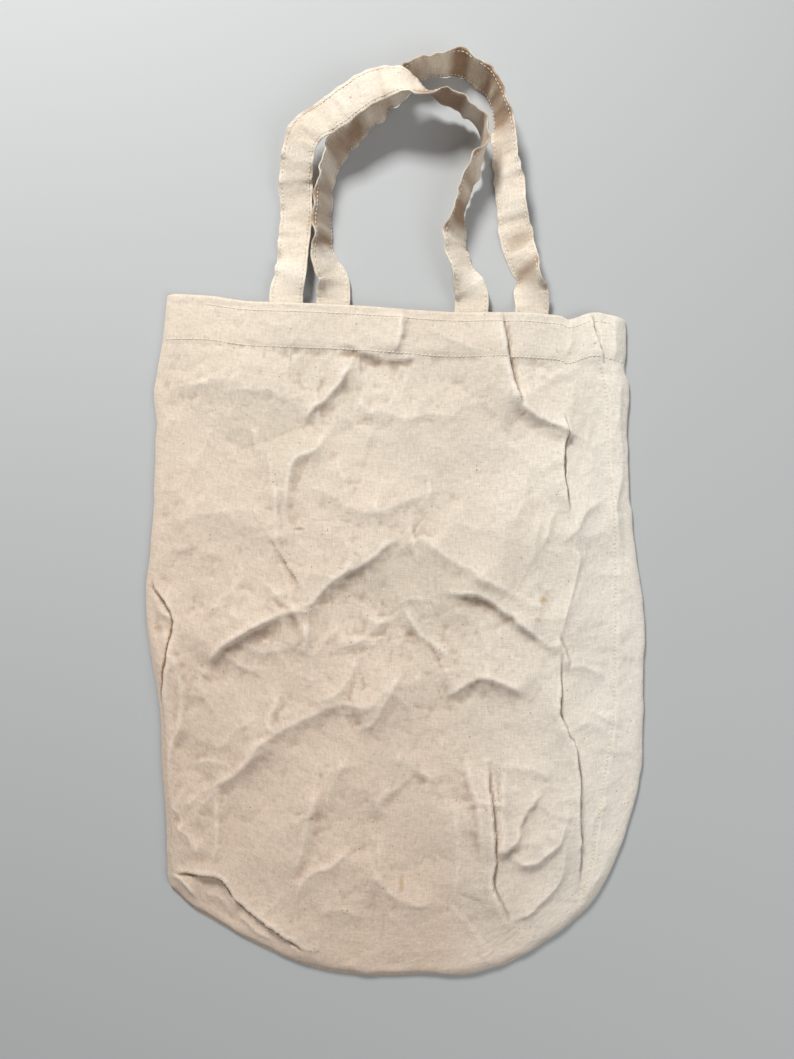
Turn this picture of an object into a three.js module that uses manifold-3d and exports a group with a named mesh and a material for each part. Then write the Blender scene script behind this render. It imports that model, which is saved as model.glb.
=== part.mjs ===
// Canvas tote bag lying flat on its back, mouth towards +Y, front face up. Millimetres, +Z up.
//
// The bag is drawn with its mouth edge on y = 0 and the floor on z = 0, and the whole group is then
// moved so that the origin is under the middle of the bag. Every layer of cloth is one closed solid.

import * as THREE from 'three';
import { mergeVertices } from 'three/addons/utils/BufferGeometryUtils.js';
import Module from 'manifold-3d';

const wasm = await Module();
wasm.setup();

// ---- Driving dimensions ----

const CLOTH = 1.2; // thickness of one layer of washed canvas
const GAP = 0.3; // clearance between layers
const STEP = CLOTH + GAP;
const PLUMP = 13; // height of the front face over the floor
const ROLL = 34; // width of the rounded edge where the front comes down to the back
const MOUTH_OVERRUN = 60; // the bag's form runs past the mouth, where it is cut square

const HEM = 33; // depth of the hem around the mouth
const HEM_SIDE_CLEARANCE = 7; // the back hem stops short of the sides by this
const HEM_TOP_ROW = 5.5; // top row of stitching, below the mouth edge
const HEM_LOWER_ROW = 31.5; // lower row of stitching
const SEAM_ALLOWANCE = 10;
const SEAM_INSET = 22; // side seams, in from the bag's folded edges
const SEAM_END = -445; // the stitched row on the front runs down to the boxed corner
const ALLOWANCE_END = -400; // inside, the allowance is hidden by the corner's ear from here on
const THREAD = 0.6; // stitching stands this high and wide
const CORNER_EAR = 46; // boxed corner's folded ear, along its seam
const EAR_TAPER = 0.55; // the ear's free edge is this share of its seam

const STRAP_WIDTH = 24;
const STRAP_THICKNESS = 2.2; // three layers of lighter canvas, pressed flat
const STRAP_STEPS = 60; // facets along each loop
const STRAP_COLUMNS = 4; // facets across the strap
const STRAP_ROW_GAP = 0.8; // the stitching's clearance over the twisted strap
const STRAP_EDGE_ROW = 9.6; // edge stitching, from the strap's centre line
const TAIL_LENGTH = 30; // sewn down inside the hem
const TAIL_END = 4; // the sewn tail ends this far past the mouth edge
const TAIL_SQUARE = 18; // side of the stitched square that holds a tail

// ---- The bag's outline, seen from the front ----

const MOUTH_LEFT = -172;
const MOUTH_RIGHT = 171;
const OUTLINE = [
  [174, -50], [179, -118], [191, -197], [198, -280], [196, -350], [181, -402], [149, -452], [95, -484],
  [25, -495], [-40, -490], [-98, -468], [-141, -438], [-154, -392], [-161, -325], [-174, -245],
  [-177, -150], [-176, -50],
];
const BOTTOM_SEAM = [[-60, -476], [-30, -483], [10, -486], [50, -485], [80, -479]];
const CORNER_EARS = [
  { name: 'left', x: -108, y: -424, turn: -0.62 },
  { name: 'right', x: 134, y: -424, turn: 0.82 },
];

// Free loops of the two handles, from the left leg over to the right one: x, y, height of the centre
// line, and the tilt of the strap in degrees, positive where its inner edge is the higher one.
const FRONT_LOOP = [
  [-82, 5, 8.9, 0], [-82, 9, 8.9, 0], [-80, 18, 8, 10], [-78.5, 34, 7.5, 15], [-77.5, 72, 7.5, 11],
  [-78.5, 92, 14, 8], [-72, 118, 23.5, 3], [-51, 132, 26.5, 3], [-28, 149, 28.5, 2], [-6, 155, 30, 22],
  [22, 149, 23, 80], [40, 145, 20.5, 92], [55.5, 132, 18, 95], [57.5, 118, 16.5, 98],
  [52, 105, 15.5, 76], [46.5, 88, 15, 68], [42.5, 69, 13.5, 66], [40.5, 48, 11, 40],
  [47.5, 27, 9.5, 38], [54, 14, 8.9, 8], [55, 9, 8.9, 0], [55, 5, 8.9, 0],
];
const BACK_LOOP = [
  [-47.5, 5, 5, 0], [-47.5, 9, 5.2, -4], [-48.5, 20, 7.5, -28], [-55, 32, 9.5, -42], [-56, 45, 11, -62],
  [-57, 58, 11.2, -62], [-57, 84, 11.1, -69], [-56, 96, 10.8, -65], [-48.5, 113, 10.8, -60],
  [-33, 132, 10.8, -68], [-18, 147, 11, -72], [-1, 166, 11.8, -72], [9, 174, 12.2, -80],
  [35, 179, 12, -70], [53, 171, 12, -73], [64.5, 156, 12.5, -76], [70.5, 137, 11.5, -60],
  [74.5, 115, 10.5, -50], [80.5, 81, 8.5, -38], [86, 54, 7, -26], [94.5, 30, 8.5, -44],
  [99, 16, 5.5, -14], [100, 9, 5, -1], [100, 5, 5, 0],
];

// ---- Materials ----

const canvas = new THREE.MeshStandardMaterial({ color: 0xddd0bd, roughness: 0.95, metalness: 0 });
const strapCanvas = new THREE.MeshStandardMaterial({ color: 0xdccdb8, roughness: 0.95, metalness: 0 });
const thread = new THREE.MeshStandardMaterial({ color: 0xe6dccb, roughness: 0.8, metalness: 0 });

// ---- Solids ----

function toSolid(geometry) {
  const bare = geometry.clone();
  bare.deleteAttribute('normal');
  bare.deleteAttribute('uv');
  const merged = mergeVertices(bare, 1e-4);
  const vertProperties = new Float32Array(merged.attributes.position.array);
  const triVerts = new Uint32Array(merged.index.array);
  return new wasm.Manifold(new wasm.Mesh({ numProp: 3, vertProperties, triVerts }));
}

function toGeometry(solid) {
  const mesh = solid.getMesh();
  const geometry = new THREE.BufferGeometry();
  geometry.setAttribute('position', new THREE.BufferAttribute(new Float32Array(mesh.vertProperties), 3));
  geometry.setIndex(new THREE.BufferAttribute(new Uint32Array(mesh.triVerts), 1));
  geometry.computeVertexNormals();
  return geometry;
}

// A box between two corners.
function block(low, high) {
  const size = high.map((value, axis) => value - low[axis]);
  const middle = high.map((value, axis) => (value + low[axis]) / 2);
  return new THREE.BoxGeometry(...size).translate(...middle);
}

const FAR = 1000; // further than any part of the bag reaches

// A solid slab across the whole bag, from one y to another, above a height.
function across(yLow, yHigh, zLow = STEP) {
  return toSolid(block([-FAR, yLow, zLow], [FAR, yHigh, FAR]));
}

// ---- The bag's form ----

function outlineShape() {
  const shape = new THREE.Shape();
  shape.moveTo(MOUTH_LEFT, MOUTH_OVERRUN);
  shape.lineTo(MOUTH_LEFT, 0);
  const points = OUTLINE.map(([x, y]) => new THREE.Vector2(x, y)).reverse();
  shape.splineThru([...points, new THREE.Vector2(MOUTH_RIGHT, 0)]);
  shape.lineTo(MOUTH_RIGHT, MOUTH_OVERRUN);
  shape.closePath();
  return shape;
}

// The space under a layer of the front, "depth" below its outer face. Its edge is a rounded roll.
function formUnder(depth) {
  const height = PLUMP - STEP - depth;
  const geometry = new THREE.ExtrudeGeometry(outlineShape(), {
    depth: GAP,
    steps: 1,
    curveSegments: 2,
    bevelEnabled: true,
    bevelThickness: height - GAP,
    bevelSize: ROLL,
    bevelOffset: -ROLL - depth,
    bevelSegments: 5,
  });
  return toSolid(geometry.translate(0, 0, STEP));
}

// A layer of cloth that follows the front, cut to the part of it that lies inside "cut".
function frontLayer(depth, thickness, cut) {
  return toGeometry(formUnder(depth).subtract(formUnder(depth + thickness)).intersect(cut));
}

// A flat layer lying on the back, with the bag's outline.
function backLayer(zLow, thickness, cut, inset = 0) {
  const geometry = new THREE.ExtrudeGeometry(outlineShape(), {
    depth: thickness,
    curveSegments: 2,
    bevelEnabled: inset > 0,
    bevelThickness: 0,
    bevelSize: 0,
    bevelOffset: -inset,
    bevelSegments: 1,
  });
  return toGeometry(toSolid(geometry.translate(0, 0, zLow)).intersect(cut));
}

// A band of some width along a line of points, standing between two heights.
function band(points, width, zLow, zHigh) {
  const line = points.map(([x, y]) => new THREE.Vector2(x, y));
  const sides = line.map((point, i) => {
    const before = line[Math.max(i - 1, 0)];
    const after = line[Math.min(i + 1, line.length - 1)];
    const along = after.clone().sub(before).normalize();
    return new THREE.Vector2(-along.y, along.x).multiplyScalar(width / 2);
  });
  const left = line.map((point, i) => point.clone().add(sides[i]));
  const right = line.map((point, i) => point.clone().sub(sides[i])).reverse();
  const geometry = new THREE.ExtrudeGeometry(new THREE.Shape([...left, ...right]), {
    depth: zHigh - zLow,
    bevelEnabled: false,
  });
  return geometry.translate(0, 0, zLow);
}

// ---- Straps ----

// A strip of the strap: "offset" across it and "lift" above its middle layer, bent along the loop.
function strapStrip(loop, width, thickness, columns, offset = 0, lift = 0) {
  const centre = new THREE.CatmullRomCurve3(loop.map(([x, y, z]) => new THREE.Vector3(x, y, z)));
  const tilts = new THREE.SplineCurve(loop.map(([, , , tilt], i) => new THREE.Vector2(i, tilt)));
  const geometry = new THREE.BoxGeometry(width, 1, thickness, columns, STRAP_STEPS, 1);
  const position = geometry.attributes.position;
  const up = new THREE.Vector3(0, 0, 1);
  for (let i = 0; i < position.count; i += 1) {
    const t = position.getY(i) + 0.5;
    const along = centre.getTangent(t);
    const inward = along.clone().cross(up).normalize();
    const normal = inward.clone().cross(along);
    const tilt = THREE.MathUtils.degToRad(tilts.getPoint(t).y);
    const place = centre.getPoint(t);
    const acrossBy = position.getX(i) + offset;
    const liftBy = position.getZ(i) + lift;
    place.addScaledVector(inward, acrossBy * Math.cos(tilt) - liftBy * Math.sin(tilt));
    place.addScaledVector(normal, acrossBy * Math.sin(tilt) + liftBy * Math.cos(tilt));
    const height = Math.max(place.z, 0); // the floor holds up the strap's lower edge
    position.setXYZ(i, place.x, place.y, height);
  }
  geometry.computeVertexNormals();
  return geometry;
}

// ---- Assembly ----

const bag = new THREE.Group();

function add(name, geometry, material) {
  const mesh = new THREE.Mesh(geometry, material);
  mesh.name = name;
  bag.add(mesh);
}

function addPanels() {
  add('back_panel', backLayer(0, CLOTH, across(-FAR, 0, 0)), canvas);
  add('front_panel', frontLayer(0, CLOTH, across(-FAR, 0)), canvas);
}

function addHems() {
  const hem = across(-HEM, 0, 0);
  add('back_hem', backLayer(STEP, CLOTH, hem, HEM_SIDE_CLEARANCE), canvas);
  const clearOfBackHem = across(-HEM, 0, 2 * STEP);
  add('front_hem', frontLayer(STEP, CLOTH, clearOfBackHem), canvas);
  const rows = [['top', HEM_TOP_ROW], ['lower', HEM_LOWER_ROW]];
  for (const [name, row] of rows) {
    const yLow = -row - THREAD / 2;
    const onFront = across(yLow, yLow + THREAD, 2 * STEP);
    add(`front_hem_${name}_stitching`, frontLayer(-GAP - THREAD, THREAD, onFront), thread);
    const inside = across(yLow, yLow + THREAD, 0);
    const inset = HEM_SIDE_CLEARANCE + 2;
    add(`back_hem_${name}_stitching`, backLayer(2 * STEP, THREAD, inside, inset), thread);
  }
}

// One side of the outline, moved in from the edge, between the hem and some y.
function sideLine(side, inset, end) {
  const points = OUTLINE.filter(([x, y]) => Math.sign(x) === side && y > end && y < -HEM);
  return points.map(([x, y]) => [x - side * inset, y]);
}

function addSeams() {
  const allowanceTop = STEP + 2 * CLOTH;
  for (const [name, side] of [['left', -1], ['right', 1]]) {
    const line = sideLine(side, SEAM_INSET, ALLOWANCE_END);
    add(`${name}_seam_allowance`, band(line, SEAM_ALLOWANCE, STEP, allowanceTop), canvas);
  }
  const zThread = allowanceTop + GAP;
  const leftRow = sideLine(-1, SEAM_INSET, ALLOWANCE_END);
  add('left_seam_topstitching', band(leftRow, THREAD, zThread, zThread + THREAD), thread);
  const onFront = toSolid(band(sideLine(1, SEAM_INSET, SEAM_END), THREAD, 0, FAR));
  add('right_seam_topstitching', frontLayer(-GAP - THREAD, THREAD, onFront), thread);
}

// Seam along the bottom edge, and the ears of the two boxed corners folded flat over it inside.
function addBottom() {
  add('bottom_seam_allowance', band(BOTTOM_SEAM, SEAM_ALLOWANCE / 2, STEP, STEP + CLOTH), canvas);
  const half = CORNER_EAR / 2;
  const ear = new THREE.Shape([
    new THREE.Vector2(-half, 0),
    new THREE.Vector2(half, 0),
    new THREE.Vector2(half * EAR_TAPER, SEAM_ALLOWANCE),
    new THREE.Vector2(-half * EAR_TAPER, SEAM_ALLOWANCE),
  ]);
  for (const { name, x, y, turn } of CORNER_EARS) {
    const flap = new THREE.ExtrudeGeometry(ear, { depth: 2 * CLOTH, bevelEnabled: false });
    add(`${name}_boxed_corner_seam`, flap.rotateZ(turn).translate(x, y, STEP), canvas);
  }
}

function squareCorners(reach) {
  const signs = [[-1, -1], [1, -1], [1, 1], [-1, 1]];
  return signs.map(([i, j]) => new THREE.Vector2(i * reach, j * reach));
}

// A sewn tail inside the hem, and the stitched square that holds it, on the side that faces inwards.
function addTail(name, [x, , z], facing) {
  const half = STRAP_WIDTH / 2;
  const thick = STRAP_THICKNESS / 2;
  const tail = block([x - half, -TAIL_LENGTH, z - thick], [x + half, TAIL_END, z + thick]);
  add(`${name}_tail`, tail, strapCanvas);
  const outer = TAIL_SQUARE / 2;
  const inner = outer - THREAD;
  const square = new THREE.Shape(squareCorners(outer));
  square.holes.push(new THREE.Path(squareCorners(inner).reverse()));
  const stitches = new THREE.ExtrudeGeometry(square, { depth: THREAD, bevelEnabled: false });
  const zStitches = facing > 0 ? z + thick + GAP : z - thick - GAP - THREAD;
  add(`${name}_tail_stitching`, stitches.translate(x, -(HEM_TOP_ROW + HEM_LOWER_ROW) / 2, zStitches), thread);
}

function addHandle(name, loop, facing) {
  addTail(`${name}_left`, loop[0], facing);
  addTail(`${name}_right`, loop[loop.length - 1], facing);
  add(name, strapStrip(loop, STRAP_WIDTH, STRAP_THICKNESS, STRAP_COLUMNS), strapCanvas);
  const lift = STRAP_THICKNESS / 2 + STRAP_ROW_GAP + THREAD / 2;
  add(`${name}_outer_stitching`, strapStrip(loop, THREAD, THREAD, 1, -STRAP_EDGE_ROW, lift), thread);
  add(`${name}_inner_stitching`, strapStrip(loop, THREAD, THREAD, 1, STRAP_EDGE_ROW, lift), thread);
}

addPanels();
addHems();
addSeams();
addBottom();
addHandle('front_handle', FRONT_LOOP, -1);
addHandle('back_handle', BACK_LOOP, 1);

const box = new THREE.Box3().setFromObject(bag);
const middle = box.getCenter(new THREE.Vector3());
bag.position.set(-middle.x, -middle.y, -box.min.z);

export default bag;
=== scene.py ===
"""A washed, crumpled canvas tote bag lying flat on its back, its handles away from the viewer's feet.

Lengths are millimetres on the bag unless a comment says otherwise: x to the right along the mouth
edge, y from the mouth edge (0) towards the handles, so the bottom of the bag is at negative y, and z up
from the floor. place() and set_points() turn them into the frame's metres.
"""

import math

import bmesh
import bpy
import numpy as np
from mathutils import Matrix, Vector
from mathutils.bvhtree import BVHTree


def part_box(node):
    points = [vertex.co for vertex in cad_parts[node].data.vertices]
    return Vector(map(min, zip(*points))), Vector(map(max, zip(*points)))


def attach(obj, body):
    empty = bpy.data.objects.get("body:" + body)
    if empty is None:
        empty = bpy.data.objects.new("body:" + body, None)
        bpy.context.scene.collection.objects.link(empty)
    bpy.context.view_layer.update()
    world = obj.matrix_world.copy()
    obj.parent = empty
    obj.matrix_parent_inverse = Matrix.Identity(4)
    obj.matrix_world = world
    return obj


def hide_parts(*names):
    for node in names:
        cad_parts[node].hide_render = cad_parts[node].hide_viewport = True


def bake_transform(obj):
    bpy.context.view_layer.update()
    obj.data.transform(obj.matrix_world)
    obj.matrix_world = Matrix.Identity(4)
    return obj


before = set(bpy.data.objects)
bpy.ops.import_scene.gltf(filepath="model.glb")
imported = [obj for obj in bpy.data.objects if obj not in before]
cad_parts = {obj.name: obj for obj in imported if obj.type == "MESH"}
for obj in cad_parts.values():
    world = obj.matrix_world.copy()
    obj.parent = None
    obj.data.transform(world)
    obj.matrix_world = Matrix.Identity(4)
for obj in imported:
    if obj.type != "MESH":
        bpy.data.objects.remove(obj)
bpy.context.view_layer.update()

MM = 0.001

# ---- Where the bag lies, from the frame ----

TAIL_X = -82  # middle of the front handle's left tail
tail_low, tail_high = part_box("front_handle_left_tail")
ZERO_X = (tail_low.x + tail_high.x) / 2 - TAIL_X * MM
ZERO_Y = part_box("back_panel")[1].y

# ---- Sizes ----

LENGTH = 495  # mouth edge to bottom, as it lies
FLAT_WIDTH = 375
HEM = 33
FRONT_FOLD = 1.2  # radius of the front's folded mouth edge
BACK_FOLD = 1.0
BACK_DROP = 2  # how far the back's mouth edge lies below the front's
TOP_ROW = 5.5  # rows of stitching, from the mouth edge down
LOWER_ROW = 31.5
STITCH = 3.0  # one stitch with its gap
STITCH_THICK = 0.62
HEM_STITCH_THICK = 0.85
STRAP_HALF = 12.5
STRAP_THICK = 1.9
STRAP_TAIL = 30  # sewn down inside the hem
EDGE_ROW = 0.8  # where a strap's edge stitching runs, as a share of its half width
SQUARE = 18  # the square of stitches through a tail
SQUARE_AT = 12  # from the strap's end to the middle of its square
INSIDE = 3.2  # height of the seam allowances' middle layer over the floor
ALLOWANCE_THICK = 1.2
BACK_TOP = 4.1  # height of the back hem's inner face
BACK_ROW_HALF = 158  # half the length of the back hem's rows
RIM_HEIGHT = 1.2  # outer face of the front at the closed rim
RIM_ROLL = 8  # how far in the rim's round turn reaches
SMALL_CREASES = 60
FADE_SHARE = 0.25  # a fold fades out over this share of its length at either end
LIP_LEAN = 1  # a fold that leans this far has a slit under its lip
SLIT_HALF = 1.1  # half the width of that slit

# Outline of the bag from the mouth's left end round the bottom to its right end.
LEFT_SIDE = [
    (-171, 1), (-174, -33), (-178, -70), (-175, -93), (-174, -137), (-175, -190), (-176.5, -210),
    (-175, -242), (-170, -268), (-163, -300), (-160, -327), (-158, -354), (-152, -392), (-151, -422),
    (-147, -437),
]
BOTTOM = [
    (-147, -437), (-130, -451), (-106, -464), (-77, -478), (-50, -488), (-23, -494), (12, -495),
    (45, -492), (73, -492), (93, -486), (107, -481), (132, -465), (150, -451),
]
RIGHT_SIDE = [
    (171, -1), (172, -36), (175, -53), (176, -92), (179, -119), (182, -146), (191, -197), (196, -224),
    (197, -266), (199, -324), (198, -337), (194, -361), (184, -397), (169, -430), (150, -451),
]
MOUTH = [
    (-171, 1), (-140, 0.5), (-108, -2.5), (-70, -2.5), (-35, -2.5), (3, -3.2), (42, -3.8), (88, -1.6),
    (112, -1.6), (122, -2), (127, -4.2), (132, -3), (145, 2), (158, 1), (171, -1),
]

# Folds of the front. Each has the height of its crest over the cloth, how far the cloth takes to level
# out on the left and on the right of it, how far the crest leans over to the left (to the right if
# negative), and the points that it runs through. Left and right are as seen along those points.
FOLDS = [
    # the hem
    (3.4, 14, 2.8, -0.6, [(-46, -29), (-30, -32), (-16, -36), (-2, -40), (10, -38), (21, -35)]),
    (4.6, 2.4, 12, 0.8, [(5, -2), (4, -14), (2, -26), (-2, -38)]),
    (4.6, 4.4, 12, 0.6, [(-29, -36), (-37, -55), (-46, -68), (-58, -77), (-70, -92)]),
    (0.9, 2.5, 2, 0, [(-109, -2), (-108, -36)]),
    (1.0, 5, 3, 0, [(-98, -14), (-88, -20), (-70, -16)]),
    (1.4, 8, 3, 0, [(20, -12), (32, -20), (48, -26), (62, -34)]),
    (5.4, 2.0, 17, 2.8, [(75, 2), (77, -18), (80, -34), (85, -50), (91, -64), (98, -72)]),
    (-2.6, 5, 2.5, 0, [(80, 2), (82, -14), (84, -30), (88, -44), (92, -58), (95, -68)]),
    (5.6, 18, 3.4, -0.9, [(86, -52), (93, -64), (102, -72), (113, -78), (128, -85), (146, -91)]),
    (4.6, 1.8, 8, 2.4, [(143, 3), (144, -10), (148, -22), (153, -38)]),
    (3.0, 7, 6, 0, [(160, 3), (161, -14), (162, -34)]),
    (1.8, 6, 3, 0, [(128, 0), (130, -16), (126, -34)]),
    (1.6, 8, 4, 0, [(104, -42), (118, -46), (134, -40)]),
    (1.4, 6, 4, 0, [(160, -40), (163, -58), (160, -80)]),
    (1.8, 3, 4, 0, [(170, -44), (167, -66), (172, -84)]),
    # the upper half
    (1.8, 16, 7, 0, [(-125, -71), (-108, -67), (-92, -65), (-78, -71), (-62, -65)]),
    (1.4, 14, 8, 0, [(-165, -68), (-140, -62), (-116, -50)]),
    (3.4, 5, 9, 0, [(-47, -85), (-53, -108), (-68, -115), (-74, -130), (-75, -147), (-74, -176)]),
    (2.2, 3, 8, 0, [(-85, -130), (-82, -154), (-78, -187)]),
    (1.2, 5, 3, 0, [(-90, -108), (-86, -122), (-85, -136)]),
    (1.3, 4, 6, 0, [(-40, -112), (-34, -128), (-30, -146)]),
    (3.8, 26, 9, 0, [(-65, -131), (-44, -140), (-27, -149), (-7, -151), (20, -140), (60, -128)]),
    (1.8, 15, 7, 0, [(-30, -87), (-10, -78), (10, -82), (24, -78), (44, -77), (57, -63)]),
    (2.0, 10, 16, 0, [(-168, -168), (-128, -159), (-84, -151)]),
    (4.8, 1.8, 9, 2.8, [(124, -72), (127, -84), (125, -98), (126, -116), (130, -134), (134, -149)]),
    (3.0, 4, 9, 0, [(162, -133), (147, -143), (139, -158), (127, -167)]),
    (2.2, 6, 10, 0, [(113, -146), (110, -168), (103, -192)]),
    (1.8, 3, 3, 0, [(122, -143), (120, -156), (116, -172)]),
    (1.6, 8, 5, 0, [(100, -118), (98, -140), (90, -158)]),
    # the arched fold across the middle
    (5.6, 6, 26, 0.6, [(19, -165), (1, -175), (-12, -188), (-38, -204), (-51, -220), (-67, -226)]),
    (4.0, 5, 18, 0.5, [(-74, -231), (-97, -242), (-116, -255), (-129, -272)]),
    (4.4, 26, 7, 0, [(21, -165), (46, -181), (63, -191), (94, -209)]),
    (1.8, 4, 4, 0, [(17, -145), (19, -167), (26, -190)]),
    (5.4, 18, 2.8, -0.9, [(40, -209), (60, -208), (77, -211), (93, -221), (109, -233), (134, -250)]),
    (3.2, 9, 3.6, -0.6, [(13, -217), (25, -236), (39, -246), (53, -259)]),
    (2.4, 12, 5, 0, [(56, -196), (80, -200), (110, -214), (122, -212)]),
    (2.8, 2.4, 4, 0, [(136, -172), (143, -183), (137, -211), (128, -244)]),
    (2.2, 7, 4, 0, [(-92, -202), (-74, -218), (-55, -240), (-56, -254)]),
    (1.4, 3, 8, 0, [(-112, -190), (-104, -204), (-118, -222), (-134, -236)]),
    (1.2, 5, 4, 0, [(110, -192), (123, -206)]),
    # the lower half
    (4.0, 7, 15, 0, [(19, -260), (7, -285), (-2, -305), (-16, -313)]),
    (3.2, 5, 13, 0, [(-15, -255), (-24, -279), (-47, -297)]),
    (2.6, 5, 14, 0, [(6, -226), (-14, -246), (-36, -252)]),
    (5.4, 18, 4.5, 0, [(46, -284), (57, -280), (70, -271), (87, -271), (100, -277), (111, -285)]),
    (2.6, 4, 9, 0, [(-72, -285), (-78, -306), (-76, -318)]),
    (1.6, 8, 5, 0, [(-126, -298), (-132, -281), (-127, -271)]),
    (2.0, 6, 12, 0, [(-84, -304), (-104, -318), (-122, -342)]),
    (2.8, 4, 9, 0, [(-117, -356), (-113, -392), (-116, -418)]),
    (2.4, 7, 10, 0, [(-70, -322), (-96, -342), (-126, -374), (-134, -392)]),
    (2.6, 5, 9, 0, [(-146, -388), (-134, -398), (-124, -412)]),
    (3.2, 6, 13, 0, [(-36, -350), (-46, -376), (-50, -398), (-58, -428)]),
    (2.0, 6, 10, 0, [(-18, -330), (-30, -352), (-34, -376)]),
    (3.2, 16, 7, 0, [(-5, -393), (7, -423), (28, -436), (58, -439)]),
    (1.6, 12, 5, 0, [(-38, -452), (-20, -446), (2, -452)]),
    (2.0, 10, 6, 0, [(6, -330), (30, -338), (52, -352)]),
    (4.0, 9, 6.5, 0, [(-130, -278), (-119, -260), (-100, -245), (-80, -233), (-62, -227), (-38, -222)]),
    (4.0, 12, 7, 0, [(-112, -358), (-99, -346), (-79, -321), (-58, -309), (-31, -294), (-6, -293),
                     (14, -274)]),
    (2.4, 9, 6, 0, [(-146, -380), (-123, -362), (-102, -347)]),
    (2.8, 4, 10, 0, [(-58, -450), (-46, -421), (-29, -413), (-12, -398)]),
    (1.6, 4, 8, 0, [(-40, -329), (-44, -358), (-44, -386), (-50, -407)]),
    (2.4, 4, 6, 0, [(-164, -241), (-156, -258), (-143, -299), (-153, -346), (-148, -377)]),
    (2.0, 3, 5, 0, [(-53, -235), (-54, -248), (-57, -260)]),
    # the tall slit beside the side seam, and the gathers at the lower right
    (5.8, 1.6, 13, 3.2, [(130, -236), (131, -265), (131, -292), (137, -305), (144, -322), (148, -345),
                         (150, -379), (154, -406), (153, -432)]),
    (3.4, 2, 6, 1.2, [(130, -237), (134, -248), (139, -261)]),
    (2.2, 9, 5, 0, [(134, -262), (150, -258), (166, -268)]),
    (5.0, 2.4, 8, 1.2, [(81, -330), (84, -356), (87, -375), (90, -402), (88, -419), (96, -438),
                        (106, -455)]),
    (3.6, 8, 3.4, 0, [(66, -326), (70, -344), (76, -362), (79, -382), (85, -413)]),
    (2.4, 4, 3, 0, [(97, -330), (95, -360), (97, -385), (93, -410)]),
    (4.0, 2.6, 9, 0.5, [(128, -346), (112, -367), (103, -391), (90, -402)]),
    (4.6, 3.2, 9, 0, [(143, -360), (139, -380), (134, -393), (117, -404), (103, -398)]),
    (4.0, 3.4, 9, 0, [(144, -380), (140, -416), (124, -436), (104, -452)]),
    (2.0, 8, 6, 0, [(90, -335), (114, -333), (131, -344)]),
    (2.2, 5, 8, 0, [(60, -360), (62, -384), (66, -410), (60, -440)]),
    (1.8, 4, 7, 0, [(176, -352), (163, -372), (166, -400)]),
    # the rolled edges
    (2.8, 4, 6, 0, [(166, -60), (173, -108), (168, -142), (177, -175)]),
    (3.6, 11, 2.4, -2.0, [(-175, -202), (-166, -216), (-157, -226), (-151, -240), (-154, -262),
                          (-157, -284), (-159, -310), (-157, -330), (-154, -350)]),
    (2.0, 6, 4, 0, [(-172, -216), (-163, -232), (-152, -238)]),
    (5.8, 13, 2.2, -2.4, [(-150, -422), (-130, -423), (-112, -423), (-100, -433), (-91, -444),
                          (-76, -454), (-55, -470), (-36, -479)]),
    (3.0, 3, 3, 0, [(-150, -431), (-141, -427), (-134, -434), (-124, -446)]),
    (1.8, 5, 3, 0, [(-96, -452), (-84, -464), (-64, -474)]),
    (1.2, 4, 3, 0, [(-122, -436), (-108, -444), (-98, -456)]),
]

SEAM = [
    (149, -2), (152, -30), (160, -61), (164, -108), (169, -145), (173, -190), (176, -276), (175, -311),
    (172, -338), (169, -372), (166, -400), (159, -436),
]

# Free loops of the handles from the left leg over to the right one: x, y, height of the centre line,
# and tilt in degrees, positive where the strap's inner edge is the higher one.
FRONT_LOOP = [
    (-82, 0, 6.8, 0), (-82, 7, 7, 2), (-80, 18, 8, 10), (-78.5, 34, 7.5, 15), (-77.5, 72, 7.5, 11),
    (-78.5, 92, 14, 8), (-72, 118, 23.5, 3), (-51, 132, 26.5, 3), (-28, 149, 28.5, 2),
    (-6, 155, 30, 22), (22, 149, 23, 80), (40, 145, 20.5, 92), (55.5, 132, 18, 95),
    (57.5, 118, 16.5, 98), (52, 105, 15.5, 76), (46.5, 88, 15, 68), (42.5, 69, 13.5, 66),
    (40.5, 48, 11, 40), (47.5, 27, 9.5, 42), (53.5, 14, 8.2, 10), (55, 7, 7, 2), (55, 0, 6.8, 0),
]
BACK_LOOP = [
    (-47.5, 0, 3.9, 0), (-47.5, 8, 4.8, -8), (-48.5, 20, 7.5, -30), (-55, 32, 9.5, -44),
    (-56, 45, 11, -63), (-57, 58, 11.4, -62), (-57.5, 84, 11.4, -70), (-56.5, 96, 11, -66),
    (-49, 113, 11, -60), (-33, 132, 11.2, -68), (-18, 147, 11.4, -72), (-1, 166, 12, -72),
    (9, 174, 12.6, -80), (35, 179, 12.4, -70), (53, 171, 12.4, -73), (64.5, 156, 12.8, -76),
    (70.5, 137, 11.8, -60), (74.5, 115, 10.8, -50), (80.5, 81, 8.8, -38), (86, 54, 7, -27),
    (94.5, 29, 9, -52), (98.5, 15, 5.8, -22), (100, 7, 4.6, -4), (100, 0, 3.9, 0),
]


def place(x, y, z=0.0):
    """A point of the bag, in millimetres, as a point of the frame."""
    return Vector((x * MM + ZERO_X, y * MM + ZERO_Y, z * MM))


# ---- Curves, noise and folds ----


def smooth_line(points, per_span=8):
    """A Catmull-Rom line through the points, as an array with the same columns."""
    p = np.array(points, float)
    p = np.vstack([2 * p[0] - p[1], p, 2 * p[-1] - p[-2]])
    steps = np.linspace(0, 1, per_span, endpoint=False)[:, None]
    spans = []
    for a, b, c, d in zip(p[:-3], p[1:-2], p[2:-1], p[3:]):
        curved = (2 * a - 5 * b + 4 * c - d) * steps**2 + (3 * b - a - 3 * c + d) * steps**3
        spans.append(b + 0.5 * ((c - a) * steps + curved))
    return np.vstack([*spans, p[-2]])


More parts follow.
